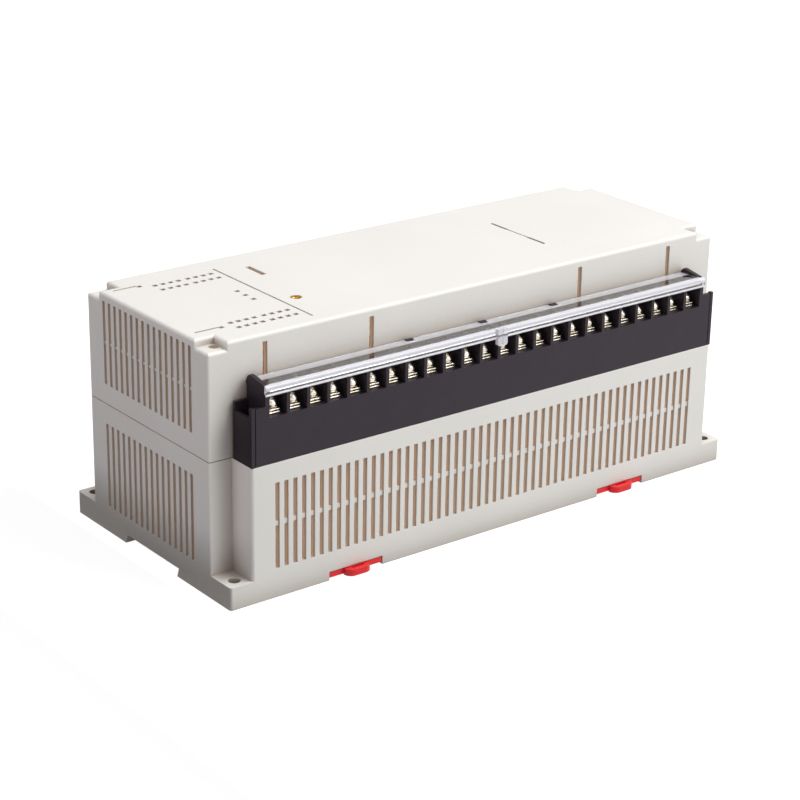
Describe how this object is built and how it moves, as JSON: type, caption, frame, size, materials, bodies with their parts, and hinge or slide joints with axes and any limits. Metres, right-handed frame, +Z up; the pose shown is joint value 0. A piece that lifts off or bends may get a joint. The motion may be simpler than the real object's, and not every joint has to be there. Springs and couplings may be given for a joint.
{
  "type": "rail-mount enclosure",
  "caption": "Long vented control-gear enclosure for a 35 mm rail, with barrier terminal strips under hinged clear covers and sliding rail clips.",
  "frame": {"origin": "centre of the base in the mounting plane, midway between the four foot holes", "axes": "+X along the rail and the housing's length, -Y towards the front with the rail clips, +Z up from the mounting plane"},
  "size_m": [0.25, 0.1153, 0.0995],
  "materials": {
    "cream_abs": "fine matt moulded ABS",
    "black_pa": "satin moulded black plastic",
    "clear_pc": "clear polished plastic",
    "red_pa": "glossy red moulded plastic",
    "nickel": "bright nickel-plated steel",
    "zinc": "bright zinc-plated steel",
    "brass": "turned brass"
  },
  "bodies": {
    "housing": {"lower_housing": "cream_abs", "upper_housing": "cream_abs", "front_terminal_block": "black_pa", "rear_terminal_block": "black_pa", "front_contact_plates": "nickel", "rear_contact_plates": "nickel", "front_clamp_plates": "nickel", "rear_clamp_plates": "nickel", "front_spring_washers": "nickel", "rear_spring_washers": "nickel", "front_terminal_screws": "nickel", "rear_terminal_screws": "nickel", "front_block_screws": "zinc", "rear_block_screws": "zinc", "housing_screws": "zinc", "adjuster_insert": "brass"},
    "cover_front_left": {"front_cover_left": "clear_pc"},
    "cover_front_right": {"front_cover_right": "clear_pc"},
    "cover_rear_left": {"rear_cover_left": "clear_pc"},
    "cover_rear_right": {"rear_cover_right": "clear_pc"},
    "clip_left": {"rail_clip_left": "red_pa"},
    "clip_right": {"rail_clip_right": "red_pa"}
  },
  "joints": [
    {"name": "front_left_hinge", "type": "hinge", "parent": "housing", "child": "cover_front_left", "pos_m": [-0.05, -0.0444, 0.08325], "axis": [-1, 0, 0], "range_deg": [0, 90]},
    {"name": "front_right_hinge", "type": "hinge", "parent": "housing", "child": "cover_front_right", "pos_m": [0.05, -0.0444, 0.08325], "axis": [-1, 0, 0], "range_deg": [0, 90]},
    {"name": "rear_left_hinge", "type": "hinge", "parent": "housing", "child": "cover_rear_left", "pos_m": [-0.05, 0.0444, 0.08325], "axis": [1, 0, 0], "range_deg": [0, 90]},
    {"name": "rear_right_hinge", "type": "hinge", "parent": "housing", "child": "cover_rear_right", "pos_m": [0.05, 0.0444, 0.08325], "axis": [1, 0, 0], "range_deg": [0, 90]},
    {"name": "left_clip_slide", "type": "slide", "parent": "housing", "child": "clip_left", "axis": [0, -1, 0], "range_m": [0, 0.0035], "stiffness_N_per_m": 1500, "springref_m": -0.0015},
    {"name": "right_clip_slide", "type": "slide", "parent": "housing", "child": "clip_right", "axis": [0, -1, 0], "range_m": [0, 0.0035], "stiffness_N_per_m": 1500, "springref_m": -0.0015}
  ]
}
